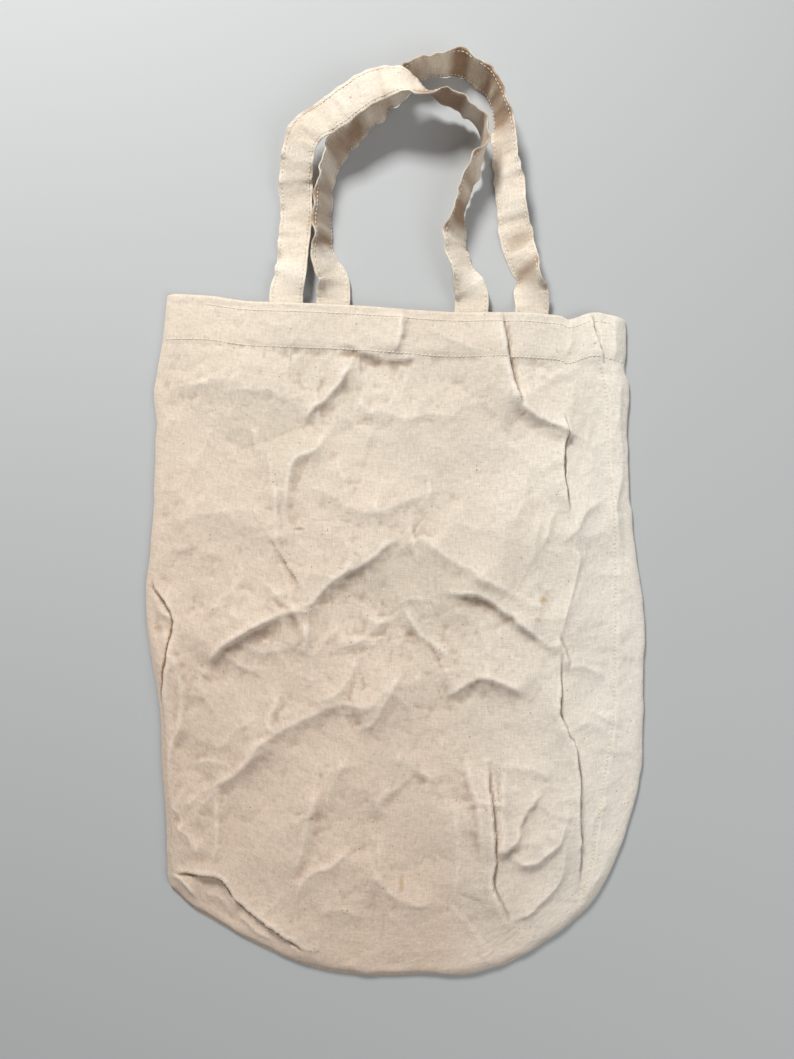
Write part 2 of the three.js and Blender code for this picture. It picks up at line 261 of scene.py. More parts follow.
def evenly(line, count):
    """The same line cut into equal lengths, measured over its x and y."""
    along = np.concatenate([[0], np.cumsum(np.linalg.norm(np.diff(line[:, :2], axis=0), axis=1))])
    at = np.linspace(0, along[-1], count)
    return np.stack([np.interp(at, along, line[:, k]) for k in range(line.shape[1])], axis=1)


FAR_CELL = 1000  # keeps the numbers of the noise's cells above zero


def noise(x, y, size, seed):
    """Smooth seeded noise from about -1 to 1, with bumps of that size."""
    cells = 128
    lattice = np.random.default_rng(seed).uniform(-1, 1, (cells, cells))
    gx = x / size + FAR_CELL
    gy = y / size + FAR_CELL
    ix = np.floor(gx).astype(int)
    iy = np.floor(gy).astype(int)
    fx = gx - ix
    fy = gy - iy
    fx = fx**3 * (fx * (6 * fx - 15) + 10)
    fy = fy**3 * (fy * (6 * fy - 15) + 10)
    rows = []
    for row in (iy % cells, (iy + 1) % cells):
        rows.append(lattice[row, ix % cells] * (1 - fx) + lattice[row, (ix + 1) % cells] * fx)
    return rows[0] * (1 - fy) + rows[1] * fy


def facets(x, y, size, seed):
    """Tilted flat patches about that size that meet in sharp creases, from about -1 to 1."""
    cells = 64
    draw = np.random.default_rng(seed).uniform(-1, 1, (cells, cells, 5))
    warp = 0.3 * size
    gx = (x + warp * noise(x, y, 1.4 * size, seed + 50)) / size + FAR_CELL
    gy = (y + warp * noise(x, y, 1.4 * size, seed + 51)) / size + FAR_CELL
    ix = np.floor(gx).astype(int)
    iy = np.floor(gy).astype(int)
    top = np.full(x.shape, -1e9)
    for step_x in (-1, 0, 1):
        for step_y in (-1, 0, 1):
            cell = draw[(iy + step_y) % cells, (ix + step_x) % cells]
            off_x = gx - (ix + step_x + 0.5 + 0.4 * cell[..., 0])
            off_y = gy - (iy + step_y + 0.5 + 0.4 * cell[..., 1])
            patch = 0.9 * (cell[..., 2] * off_x + cell[..., 3] * off_y) - 0.9 * (off_x**2 + off_y**2)
            top = np.maximum(top, patch + 0.45 * cell[..., 4])
    return 2 * (top - 0.1)


def ease(value):
    """A soft step from 0 to 1."""
    t = np.clip(value, 0, 1)
    return t * t * (3 - 2 * t)


def to_line(x, y, line):
    """Distance to a line of points, positive on its left, its share of the way along the line, and the
    line's left-hand direction there."""
    best = np.full(x.shape, 1e9)
    found = np.zeros((4, *x.shape))
    count = len(line) - 1
    for i, (a, b) in enumerate(zip(line[:-1], line[1:])):
        dx, dy = b - a
        length = math.hypot(dx, dy) + 1e-9
        t = np.clip(((x - a[0]) * dx + (y - a[1]) * dy) / length**2, 0, 1)
        off_x = x - a[0] - t * dx
        off_y = y - a[1] - t * dy
        far = np.hypot(off_x, off_y)
        side = np.where(dx * off_y - dy * off_x >= 0, 1.0, -1.0)
        nearer = far < best
        best = np.minimum(best, far)
        for k, value in enumerate((far * side, (i + t) / count, -dy / length, dx / length)):
            found[k] = np.where(nearer, value, found[k])
    return found


CREASE_HEADINGS = (-0.9, -0.45, 0.35, 1.1, 1.5)  # radians from the mouth's direction


def small_creases():
    """Short shallow creases left by washing and folding, scattered over the front, in the form of FOLDS."""
    draw = np.random.default_rng(5)
    made = []
    for _ in range(SMALL_CREASES):
        x, y = draw.uniform((-160, -480), (180, -45))
        heading = draw.choice(CREASE_HEADINGS) + draw.normal(0, 0.25)
        bend = draw.normal(0, 0.5)
        step = draw.uniform(7, 20)
        points = [(x, y)]
        for _ in range(3):
            x, y = x + step * math.cos(heading), y + step * math.sin(heading)
            points.append((x, y))
            heading += bend
        narrow = draw.uniform(1.6, 3.0)
        wide = draw.uniform(3, 9)
        left, right = draw.permutation((narrow, wide))
        made.append((draw.uniform(0.4, 1.3), left, right, 0, points))
    return made


def folded(x, y):
    """The height that the folds and small creases add, how far they push the cloth along x and along y,
    and how deep in a slit a place lies, from 0 to 1."""
    total = np.zeros((4, *x.shape))
    wander = 1.2 * noise(x, y, 11, 3) + 0.5 * noise(x, y, 4, 4)
    for crest, left, right, lean, points in FOLDS + small_creases():
        line = smooth_line(points, 5)
        reach = 4 * max(left, right)
        near = (x > line[:, 0].min() - reach) & (x < line[:, 0].max() + reach)
        near &= (y > line[:, 1].min() - reach) & (y < line[:, 1].max() + reach)
        signed, share, left_x, left_y = to_line(x[near], y[near], line)
        signed = signed + wander[near]
        off = np.sqrt(signed**2 + 0.06) - 0.24  # away from the crest, whose very top is rounded
        width = np.where(signed > 0, left, right)
        ends = ease(share / FADE_SHARE) * ease((1 - share) / FADE_SHARE)
        rise = (0.1 + 0.9 * ends) * np.exp(-off / width) * (ends > 0)
        pushed = lean * ends * np.exp(-off / (abs(lean) + 2))
        slit = np.zeros(signed.shape)
        if abs(lean) >= LIP_LEAN:
            lip = math.copysign(min(left, right) + 0.3, lean)
            slit = ends * np.exp(-(((signed - lip) / SLIT_HALF) ** 2))
        total[:, near] += np.array([crest * (rise - 0.6 * slit), pushed * left_x, pushed * left_y, slit])
    return total


# ---- The cloth's form ----

RIM = np.vstack([smooth_line(LEFT_SIDE), smooth_line(BOTTOM)[1:], smooth_line(RIGHT_SIDE)[::-1][1:]])
SEAM_LINE = smooth_line(SEAM, 4)


def rim_distance(x, y):
    """How far places lie in from the closed rim; half of its points are enough for this."""
    return np.abs(to_line(x, y, RIM[::2])[0])


def crumples(x, y, hem):
    """Height of the unnamed crumples: big ones that are calmer low on the bag, and small ones. Both are
    calmer where the hem doubles the cloth."""
    big = 1.1 * facets(x, y, 48, 11) - 0.9 * facets(x * 1.2, y, 27, 12) + 1.0 * noise(x, y, 38, 15)
    small = 0.34 * facets(x, y * 1.2, 13, 13) + 0.26 * noise(x, y, 6, 14) + 0.12 * noise(x, y, 2.8, 16)
    slack = 1 - 0.3 * ease((-y - 270) / 90)
    lively = 0.55 + 0.45 * noise(x, y, 60, 17)
    return big * slack * (1 - 0.6 * hem) + small * lively * (1 - 0.3 * hem)


def row_relief(x, y):
    """Height that the stitched rows add: a groove with puckers along each row of the hem, the step at the
    hem's lower edge, and the ridge of the side seam, which is steep towards the middle of the bag."""
    height = 0.6 * ease((y + HEM + 0.8) / 1.2)
    for row in (TOP_ROW, LOWER_ROW):
        off = y + row
        pucker = 0.35 * noise(x, y * 0.2, 4.0, 21) * np.exp(-np.abs(off) / 5)
        height += pucker - 0.25 * np.exp(-((off / 1.6) ** 2))
    signed = to_line(x, y, SEAM_LINE)[0]
    ridge = np.exp(-np.abs(signed) / np.where(signed > 0, 8, 1.2))
    return height + 1.3 * ridge + 0.35 * noise(x * 0.2, y, 4.2, 22) * np.exp(-np.abs(signed) / 5)


def cloth_form(x, y):
    """Height of the front's outer face over the floor, how far its folds push it along x and y, and how
    deep in a slit it lies."""
    inward = rim_distance(x, y)
    roll = np.clip(inward / RIM_ROLL, 0, 1)
    body = RIM_HEIGHT + 5.0 * np.sqrt(1 - (1 - roll) ** 2) + 3.2 * ease(inward / 80)
    inside = ease((inward - 1) / 9)
    hem = ease((y + HEM + 6) / 8)
    over_tails = hem * ease((122 - np.abs(x - 10)) / 30)
    rise, push_x, push_y, slit = folded(x, y)
    relief = rise * (1 - 0.25 * hem) + crumples(x, y, hem) + row_relief(x, y)
    height = body + 1.6 * over_tails + inside * relief
    return np.maximum(height, 1.0 + 1.6 * inside), push_x * inside, push_y * inside, slit * inside


def outline_grid(u, v):
    """The point inside the outline at share u across and share v up, between its four sides."""
    count = 400
    low = evenly(smooth_line(BOTTOM), count)
    high = evenly(smooth_line(MOUTH), count)
    left = evenly(smooth_line(LEFT_SIDE)[::-1], count)
    right = evenly(smooth_line(RIGHT_SIDE)[::-1], count)
    at = np.linspace(0, 1, count)
    found = []
    for k in range(2):
        across = (1 - v) * np.interp(u, at, low[:, k]) + v * np.interp(u, at, high[:, k])
        upwards = (1 - u) * np.interp(v, at, left[:, k]) + u * np.interp(v, at, right[:, k])
        left_end = (1 - v) * low[0, k] + v * high[0, k]
        right_end = (1 - v) * low[-1, k] + v * high[-1, k]
        found.append(across + upwards - (1 - u) * left_end - u * right_end)
    return found


def turned_over(u, travel, fold):
    """Where points of a panel lie whose hem turns over to the inside at the mouth, in a fold of that
    radius: x, y, and the angle turned so far, from 0 to pi. Travel is measured up from the bottom."""
    past = np.maximum(travel - LENGTH, 0)
    below = np.maximum(past - math.pi * fold, 0)
    x, y = outline_grid(u, np.where(past > 0, LENGTH - below, travel) / LENGTH)
    return x, y, np.clip(past / fold, 0, math.pi)


# ---- Mesh helpers ----


def grid_mesh(name, across, along):
    """A grid of that many faces over the unit square, and its vertices' two shares."""
    bm = bmesh.new()
    bmesh.ops.create_grid(bm, x_segments=across, y_segments=along, size=0.5)
    mesh = bpy.data.meshes.new(name)
    bm.to_mesh(mesh)
    bm.free()
    flat = np.zeros(len(mesh.vertices) * 3)
    mesh.vertices.foreach_get("co", flat)
    shares = flat.reshape(-1, 3)[:, :2] + 0.5
    return mesh, np.clip(shares[:, 0], 0, 1), np.clip(shares[:, 1], 0, 1)


def set_points(mesh, x, y, z):
    """Puts the vertices at those places of the bag."""
    places = np.stack([x * MM + ZERO_X, y * MM + ZERO_Y, z * MM], axis=1)
    mesh.vertices.foreach_set("co", places.ravel())
    mesh.update()


def set_cloth_map(mesh, across, along):
    """A UV map in metres along the cloth, so that its weave follows the cloth."""
    layer = mesh.uv_layers.new(name="cloth")
    vertex = np.zeros(len(mesh.loops), int)
    mesh.loops.foreach_get("vertex_index", vertex)
    uv = np.stack([across[vertex], along[vertex]], axis=1) * MM
    layer.data.foreach_set("uv", uv.ravel())


def blurred(grid, cells):
    """The grid with each value made the mean of the values up to that many cells away."""
    steps = range(-cells, cells + 1)
    for axis in (0, 1):
        grid = sum(np.roll(grid, step, axis) for step in steps) / len(steps)
    return grid


def set_painted_shading(mesh, painted_shading):
    """Keeps each vertex's painted shading for the canvas's colour, from -1 for painted highlight on a crest
    to 1 for painted shade deep in a crease.
    """
    layer = mesh.attributes.new("painted_shading", "FLOAT", "POINT")
    layer.data.foreach_set("value", np.clip(painted_shading, -1, 1))


def add_object(name, mesh, material):
    """A smooth-shaded piece made of a mesh in the frame's own metres."""
    mesh.materials.append(material)
    mesh.polygons.foreach_set("use_smooth", [True] * len(mesh.polygons))
    piece = bpy.data.objects.new(name, mesh)
    bpy.context.scene.collection.objects.link(piece)
    return piece


# ---- Materials ----


def linear(hex_colour):
    """An sRGB hex colour as linear red, green, blue and alpha."""
    parts = [int(hex_colour[i : i + 2], 16) / 255 for i in (1, 3, 5)]
    return [c / 12.92 if c <= 0.04045 else ((c + 0.055) / 1.055) ** 2.4 for c in parts] + [1.0]


def add_node(tree, kind, inputs, output=0, **settings):
    """Adds a shader node with values or links for its inputs, and with its settings, and gives one of
    its outputs."""
    made = tree.nodes.new("ShaderNode" + kind)
    for name, value in settings.items():
        setattr(made, name, value)
    for name, value in inputs.items():
        if isinstance(value, bpy.types.NodeSocket):
            tree.links.new(value, made.inputs[name])
        else:
            made.inputs[name].default_value = value
    return made.outputs[output] if made.outputs else None


def new_material(name):
    material = bpy.data.materials.new(name)
    material.use_nodes = True
    material.node_tree.nodes.clear()
    return material


def layered(tree, colour, layers):
    """The colour with layers of (share, colour, way of blending) laid over it in turn."""
    for share, tint, blend in layers:
        inputs = {0: share, 6: colour, 7: tint}
        colour = add_node(tree, "Mix", inputs, 2, data_type="RGBA", blend_type=blend)
    return colour


PAINTED_SHADE_LOW_LEFT = "#f9efea"  # painted shade: multiplies the cloth's colour low on the left, faintly pink
PAINTED_LIGHT_RIGHT = "#ece8df"  # painted light: paler colour on the right side
PAINTED_CREASE_SHADE = "#b59f8d"  # painted shade: multiplies the cloth's colour deep in a crease
PAINTED_CREST_HIGHLIGHT = "#f1e9dd"  # painted highlight on the crests of the creases
HUSK = "#6d5238"  # specks of seed husk
THREAD_PITCH = 1.1 * MM  # real threads lie 0.7 mm apart; drawn coarser so that the weave shows
SLUB_LONG, SLUB_THIN = 120, 1300  # slubs to a metre along the thread and across it
PATCH_SCALE = 9.0  # patches of fading, about 11 cm
PUCKER_SCALE = 170.0  # washed-in puckers, about 6 mm
HUSK_SCALE = 240.0  # one place for a speck in 4 mm
MOTTLE_SCALE = 420.0  # uneven yarn, about 2.4 mm
FUZZ_SCALE = 900.0  # loose fibres, about 1 mm

# Marks of use: middle, half width and half height in millimetres, colour, strength.
STAINS = [
    ((118, -211), (4, 3.6), "#a8843f", 0.55),
    ((114, -225), (3, 2.4), "#a8843f", 0.4),
    ((24, -424), (2.2, 7), "#b08a48", 0.5),
    ((-64, -167), (5, 1.5), "#67594a", 0.6),
    ((-124, -229), (0.8, 0.8), "#4b3a2c", 0.8),
]


def stain_layers(tree, body):
    """The small marks on the front of the bag, each a soft-edged blot with a ragged outline."""
    ragged = add_node(tree, "TexNoise", {"Vector": body, "Scale": 400.0, "Detail": 2.0}, "Fac")
    layers = []
    for (x, y), (half_wide, half_high), hex_colour, strength in STAINS:
        middle = place(x, y)
        spread = (1 / (half_wide * MM), 1 / (half_high * MM), 0)
        shift = (-middle.x * spread[0], -middle.y * spread[1], 0)
        blot = add_node(tree, "Mapping", {0: body, "Location": shift, "Scale": spread})
        away = add_node(tree, "VectorMath", {0: blot}, "Value", operation="LENGTH")
        away = add_node(tree, "Math", {0: away, 1: ragged}, operation="ADD")
        share = add_node(tree, "MapRange", {0: away, 1: 0.7, 2: 1.6, 3: strength, 4: 0.0})
        layers.append((share, linear(hex_colour), "MIX"))
    return layers


def painted_shading_layers(tree):
    """Painted highlight on crests and raised ruffles, and painted shade in hollows, in slits and on straps
    that stand on edge.
    """
    depth = add_node(tree, "Attribute", {}, "Fac", attribute_name="painted_shading")
    painted_shade_share = add_node(tree, "MapRange", {0: depth, 1: 0.12, 2: 1.0})
    painted_highlight_share = add_node(tree, "MapRange", {0: depth, 1: -0.08, 2: -0.8, 3: 0.0, 4: 0.7})
    return [(painted_shade_share, linear(PAINTED_CREASE_SHADE), "MULTIPLY"), (painted_highlight_share, linear(PAINTED_CREST_HIGHLIGHT), "MIX")]


def painted_light_and_shade_layers(tree, body, patch):
    """Painted shade low on the left, with an edge as ragged as the patches, and painted light on the right
    side.
    """
    spot = add_node(tree, "SeparateXYZ", {0: body}).node.outputs
    slope = add_node(tree, "Math", {0: spot["X"], 1: 0.8}, operation="MULTIPLY")
    up = add_node(tree, "Math", {0: slope, 1: spot["Y"]}, operation="ADD")
    ragged = add_node(tree, "Math", {0: patch, 1: 0.5}, operation="MULTIPLY")
    up = add_node(tree, "Math", {0: up, 1: ragged}, operation="ADD")
    painted_low_left_shade = add_node(tree, "MapRange", {0: up, 1: 0.32, 2: -0.05, 3: 0.0, 4: 1.0})
    painted_right_light = add_node(tree, "MapRange", {0: spot["X"], 1: 0.04, 2: 0.16, 3: 0.0, 4: 0.75})
    return [(painted_low_left_shade, linear(PAINTED_SHADE_LOW_LEFT), "MULTIPLY"), (painted_right_light, linear(PAINTED_LIGHT_RIGHT), "MIX")]


def plain_weave(tree, cloth):
    """Bumps where one thread passes over the other."""
    split = add_node(tree, "SeparateXYZ", {0: cloth}).node.outputs
    turns = math.pi / THREAD_PITCH
    waves = []
    for way in ("X", "Y"):
        scaled = add_node(tree, "Math", {0: split[way], 1: turns}, operation="MULTIPLY")
        waves.append(add_node(tree, "Math", {0: scaled}, operation="SINE"))
    return add_node(tree, "Math", {0: waves[0], 1: waves[1]}, operation="MULTIPLY")


def slubbed(tree, cloth):
    """Thick places that run along single threads, in both directions."""
    slubs = []
    for stretch in ((SLUB_LONG, SLUB_THIN, 1), (SLUB_THIN, SLUB_LONG, 1)):
        run = add_node(tree, "Mapping", {0: cloth, "Scale": stretch})
        slubs.append(add_node(tree, "TexNoise", {"Vector": run, "Scale": 1.0, "Detail": 2.0}, "Fac"))
    return add_node(tree, "Math", {0: slubs[0], 1: slubs[1]}, operation="ADD")


def yarn_layers(tree, cloth, slub):
    """The uneven tone of the yarn, and the specks of husk spun into it."""
    mottle = add_node(tree, "TexNoise", {"Vector": cloth, "Scale": MOTTLE_SCALE, "Detail": 3.0}, "Fac")
    uneven = add_node(tree, "Math", {0: slub, 1: mottle}, operation="ADD")
    tone = add_node(tree, "MapRange", {0: uneven, 1: 1.15, 2: 1.85, 3: 0.85, 4: 1.09})
    grey = add_node(tree, "CombineColor", {0: tone, 1: tone, 2: tone})
    speck = add_node(tree, "TexVoronoi", {"Vector": cloth, "Scale": HUSK_SCALE}, "Distance")
    speck_size = add_node(tree, "TexNoise", {"Vector": cloth, "Scale": 90.0}, "Fac")
    limit = add_node(tree, "MapRange", {0: speck_size, 1: 0.42, 2: 0.75, 3: 0.0, 4: 0.2})
    is_speck = add_node(tree, "Math", {0: speck, 1: limit}, operation="LESS_THAN")
    speck_share = add_node(tree, "Math", {0: is_speck, 1: 0.5}, operation="MULTIPLY")
    return [(1.0, grey, "MULTIPLY"), (speck_share, linear(HUSK), "MIX")]


def canvas_material(name, cloth_hex, shade_hex, painted_light_and_stains):
    """Undyed cotton canvas in a plain weave, washed: dull, slubby, with specks of seed husk. With its last
    flag set, it also has painted shade low on the left, painted light on its right side, and stains."""
    material = new_material(name)
    tree = material.node_tree
    cloth = add_node(tree, "UVMap", {}, uv_map="cloth")
    body = add_node(tree, "TexCoord", {}, "Object")
    weave = plain_weave(tree, cloth)
    slub = slubbed(tree, cloth)
    patch = add_node(tree, "TexNoise", {"Vector": body, "Scale": PATCH_SCALE, "Detail": 4.0}, "Fac")
    patches = add_node(tree, "MapRange", {0: patch, 1: 0.35, 2: 0.7})
    layers = [(patches, linear(shade_hex), "MIX"), *painted_shading_layers(tree)]
    if painted_light_and_stains:
        layers += painted_light_and_shade_layers(tree, body, patch)
    layers += yarn_layers(tree, cloth, slub)
    if painted_light_and_stains:
        layers += stain_layers(tree, body)
    colour = layered(tree, linear(cloth_hex), layers)

    pucker = add_node(tree, "TexNoise", {"Vector": cloth, "Scale": PUCKER_SCALE, "Detail": 4.0}, "Fac")
    puckered = add_node(tree, "Bump", {"Height": pucker, "Strength": 0.7, "Distance": 0.9 * MM})
    fuzz = add_node(tree, "TexNoise", {"Vector": body, "Scale": FUZZ_SCALE, "Detail": 3.0}, "Fac")
    relief = add_node(tree, "Math", {0: weave, 1: slub}, operation="ADD")
    relief = add_node(tree, "Math", {0: relief, 1: fuzz}, operation="ADD")
    woven = {"Height": relief, "Strength": 0.5, "Distance": 0.1 * MM, "Normal": puckered}
    finish = {
        "Base Color": colour,
        "Normal": add_node(tree, "Bump", woven),
        "Roughness": 0.93,
        "Specular IOR Level": 0.2,
        "Sheen Weight": 0.25,
        "Sheen Roughness": 0.5,
    }
    add_node(tree, "OutputMaterial", {0: add_node(tree, "BsdfPrincipled", finish)})
    return material


def thread_material():
    """Spun cotton sewing thread: a little brighter and smoother than the canvas, with its twist."""
    material = new_material("cotton_sewing_thread")
    tree = material.node_tree
    body = add_node(tree, "TexCoord", {}, "Object")
    twist = add_node(tree, "TexNoise", {"Vector": body, "Scale": 1500.0}, "Fac")
    finish = {
        "Base Color": layered(tree, linear("#f4ecdf"), [(twist, linear("#e6dccb"), "MIX")]),
        "Normal": add_node(tree, "Bump", {"Height": twist, "Strength": 0.4, "Distance": 0.1 * MM}),
        "Roughness": 0.75,
        "Sheen Weight": 0.2,
    }
    add_node(tree, "OutputMaterial", {0: add_node(tree, "BsdfPrincipled", finish)})
    return material


BAG_CANVAS = canvas_material("washed_cotton_canvas", "#e3d9cb", "#d9cdbd", True)
STRAP_CANVAS = canvas_material("folded_canvas_strap", "#e6dccd", "#dacdbc", False)
THREAD = thread_material()

# ---- Front of the bag ----

FRONT_FACES = (300, 330)  # across and along


def finer_across(share):
    """Moves grid lines towards the rims, where the cloth turns down, and towards the long slits."""
    return np.interp(share, [0, 0.035, 0.70, 0.885, 0.965, 1], [0, 0.014, 0.785, 0.925, 0.986, 1])


def finer_along(share):
    """Moves grid lines towards the bottom rim."""
    return np.interp(share, [0, 0.03, 1], [0, 0.01, 1])


def hollowness(mesh_shares, heights):
    """How far each vertex of the front lies below the cloth round it, positive where it is sunk and
    negative on a crest, which sets the painted shade and painted highlight.
    It counts over a wide and a narrow patch, each with the depth that counts as 1."""
    cell = tuple(np.round(share * faces).astype(int) for share, faces in zip(mesh_shares, FRONT_FACES))
    grid = np.zeros([faces + 1 for faces in FRONT_FACES])
    grid[cell] = heights
    total = np.zeros(len(heights))
    for cells, full_depth in ((5, 6), (2, 0.8)):
        total += (blurred(grid, cells)[cell] - heights) / full_depth
    return total


def front_cloth():
    """The front panel with its hem folded over to the inside, as one sheet."""
    mesh, *shares = grid_mesh("front_cloth", *FRONT_FACES)
    u = finer_across(shares[0])
    travel = finer_along(shares[1]) * (LENGTH + HEM)
    x, y, turn = turned_over(u, travel, FRONT_FOLD)
    edge = np.exp(-np.abs(rim_distance(x, y)) / 6)
    low = ease((-y - 420) / 30)
    z, push_x, push_y, slit = cloth_form(x, y)
    painted_shading = hollowness(shares, z)
    push_x += edge * noise(x * 0.1, y, 12, 41)
    push_y += 1.2 * edge * low * noise(x, y * 0.1, 12, 42)
    x = (x + push_x) * (1 - 0.012 * turn / math.pi)  # the hem inside is a little narrower
    y = y + push_y + FRONT_FOLD * np.sin(turn)
    z = z - FRONT_FOLD * (1 - np.cos(turn))
    set_points(mesh, x, y, np.maximum(z, 0.9 + 2.6 * turn / math.pi))
    set_cloth_map(mesh, u * FLAT_WIDTH, travel)
    # painted shade in the hollows, lighter along the stitched rows, deeper painted shade in the slits, and
    # painted highlight on the crests
    by_row = np.exp(-(((y + LOWER_ROW) / 3) ** 2)) + np.exp(-(((y + TOP_ROW) / 2) ** 2))
    set_painted_shading(mesh, painted_shading * (1 - 0.8 * np.minimum(by_row, 1)) + 1.6 * slit)
    return add_object("front_cloth", mesh, BAG_CANVAS)


front = front_cloth()
front_surface = BVHTree.FromObject(front, bpy.context.evaluated_depsgraph_get())


def on_front(x, y):
    """The point and the outward direction of the front's outer face above a place of the bag."""
    start = place(x, y, 100)
    hit, normal, _, _ = front_surface.ray_cast(start, Vector((0, 0, -1)))
    if hit is None:
        return place(x, y, 2), Vector((0, 0, 1))
    return hit, normal if normal.z > 0 else -normal


# ---- Back of the bag ----


def back_cloth():
    """The back panel, flat on the floor, with its hem folded to the inside."""
    mesh, u, v = grid_mesh("back_cloth", 90, 130)
    travel = v * (LENGTH + HEM)
    x, y, turn = turned_over(u, travel, BACK_FOLD)
    y = y - BACK_DROP + BACK_FOLD * np.sin(turn)
    wavy = (0.35 + 0.35 * noise(x, y, 30, 31)) * ease(rim_distance(x, y) / 20)
    z = 0.5 + wavy + BACK_FOLD * (1 - np.cos(turn))
    set_points(mesh, x * (1 - 0.02 * turn / math.pi), y, z)
    set_cloth_map(mesh, u * FLAT_WIDTH, travel)
    return add_object("back_cloth", mesh, BAG_CANVAS)


back = back_cloth()

# ---- Straps ----


class StrapLine:
    """Where a strap runs: its centre, its direction across and its upper side, along its length."""

    def __init__(self, loop, seed):
        start, end = [(x, -STRAP_TAIL, z, 0) for x, _, z, _ in (loop[0], loop[-1])]
        self.line = smooth_line([start, *loop, end], 12)
        steps = np.linalg.norm(np.diff(self.line[:, :3], axis=0), axis=1)
        self.along = np.concatenate([[0], np.cumsum(steps)])
        self.length = self.along[-1]
        self.seed = seed

    def read(self, s, columns):
        """Columns of the line at lengths s along it."""
        return np.stack([np.interp(s, self.along, self.line[:, k]) for k in columns], axis=-1)

    def at(self, s):
        """Centre, direction across and outward direction of the upper side at lengths s."""
        near = 2
        way = self.read(s + near, range(3)) - self.read(s - near, range(3))
        way /= np.linalg.norm(way, axis=-1, keepdims=True)
        inward = np.cross(way, [0, 0, 1])
        inward /= np.linalg.norm(inward, axis=-1, keepdims=True)
        up = np.cross(inward, way)
        tilt = np.radians(self.read(s, [3]))
        across = inward * np.cos(tilt) + up * np.sin(tilt)
        upper = up * np.cos(tilt) - inward * np.sin(tilt)
        return self.read(s, range(3)), across, upper

    def free(self, s):
        """0 where the strap is sewn down, 1 where it is free to ruffle."""
        held = STRAP_TAIL + 6
        return ease((s - held) / 14) * ease((self.length - held - s) / 14)

    def edge_noise(self, s, a, size, step):
        """Noise that grows towards the strap's two edges and differs between them. Its seed lies that
        many steps past the strap's own."""
        far_apart = 200
        return noise(s, np.where(a > 0, far_apart, 0), size, self.seed + step) * np.abs(a) ** 3

    def ruffle(self, s, a):
        """How far the strap's crumples lift it off its middle layer."""
        edge = 1.8 * self.edge_noise(s, a, 9, 0) + 0.9 * self.edge_noise(s, a, 4.5, 1)
        wave = 1.3 * noise(s, a * 5, 13, self.seed + 2) + 0.6 * noise(s, a * 5, 6, self.seed + 3)
        groove = 0.15 * np.exp(-(((np.abs(a) - EDGE_ROW) / 0.06) ** 2))
        return (edge + wave) * (0.12 + 0.88 * self.free(s)) - groove

    def surface(self, s, a, lift):
        """Points at lengths s, at a from -1 to 1 across, and lifted off the middle layer."""
        centre, across, upper = self.at(s)
        half = STRAP_HALF * a + 0.7 * self.edge_noise(s, a, 7, 4) * self.free(s)
        return centre + across * half[..., None] + upper * (self.ruffle(s, a) + lift)[..., None]


def strap(name, line):
    """A folded, edge-stitched strap with both of its sewn-in tails, as one closed tube of cloth."""
    mesh, u, v = grid_mesh(name, 28, 460)
    s = v * line.length
    angle = u * 2 * math.pi
    a = np.sign(np.cos(angle)) * np.abs(np.cos(angle)) ** 0.45
    lift = np.sign(np.sin(angle)) * np.abs(np.sin(angle)) ** 0.6 * STRAP_THICK / 2
    points = line.surface(s, a, lift)
    points[:, 2] = np.maximum(points[:, 2], 0.15 + 0.3 * (lift > 0))
    set_points(mesh, points[:, 0], points[:, 1], points[:, 2])
    face_apart = 40  # moves each face's weave this far off the middle of the map
    set_cloth_map(mesh, a * STRAP_HALF + face_apart * np.sign(lift), s)
    turned = ease((np.abs(line.read(s, [3])[:, 0]) - 40) / 30)  # painted shade where the strap stands on edge
    # the whole strap a touch paler, and its folded edges paler still
    paler_edges = 0.1 + 0.4 * (np.abs(a) > 0.93)
    # painted shade where the strap stands on edge, and painted highlight on the raised ruffles of its upper
    # side, with painted shade in their dips and along the stitching grooves
    set_painted_shading(mesh, 0.7 * turned - 0.45 * np.sign(lift) * line.ruffle(s, a) - paler_edges)
    bm = bmesh.new()
    bm.from_mesh(mesh)
    bmesh.ops.remove_doubles(bm, verts=bm.verts, dist=0.02 * MM)
    bmesh.ops.holes_fill(bm, edges=[edge for edge in bm.edges if edge.is_boundary])
    bmesh.ops.recalc_face_normals(bm, faces=bm.faces)
    bm.to_mesh(mesh)
    bm.free()
    return add_object(name, mesh, STRAP_CANVAS)


front_line = StrapLine(FRONT_LOOP, 60)
back_line = StrapLine(BACK_LOOP, 80)
front_strap = strap("front_handle_strap", front_line)
back_strap = strap("back_handle_strap", back_line)

# ---- Stitching ----


def stitches(name, path, thick=STITCH_THICK):
    """A row of single stitches along a list of (point, outward direction) pairs in the frame. Each is a
    slightly flattened bead of thread that is sunk into the cloth, with a gap before the next one."""
    bm = bmesh.new()
    size = thick * MM / 2
    for (here, out), (there, _) in zip(path[:-1], path[1:]):
        way = there - here
        if way.length < 0.2 * STITCH * MM:
            continue
        side = out.cross(way).normalized()
        up = way.cross(side).normalized()
        turned = Matrix((way.normalized(), side, up)).transposed().to_4x4()
        stretched = Matrix.Diagonal((0.42 * way.length, size, size * 0.8, 1))
        moved = Matrix.Translation((here + there) / 2 + up * size * 0.35)
        placed = moved @ turned @ stretched
        bmesh.ops.create_uvsphere(bm, u_segments=6, v_segments=4, radius=1, matrix=placed)
    mesh = bpy.data.meshes.new(name)
    bm.to_mesh(mesh)
    bm.free()
    return add_object(name, mesh, THREAD)


def length_of(line):
    """A line's length over x and y."""
    return np.linalg.norm(np.diff(line, axis=0), axis=1).sum()


def front_row(points):
    """The path of a row that lies on the front's outer face."""
    line = smooth_line(points)
    return [on_front(x, y) for x, y in evenly(line, int(length_of(line) / STITCH))]


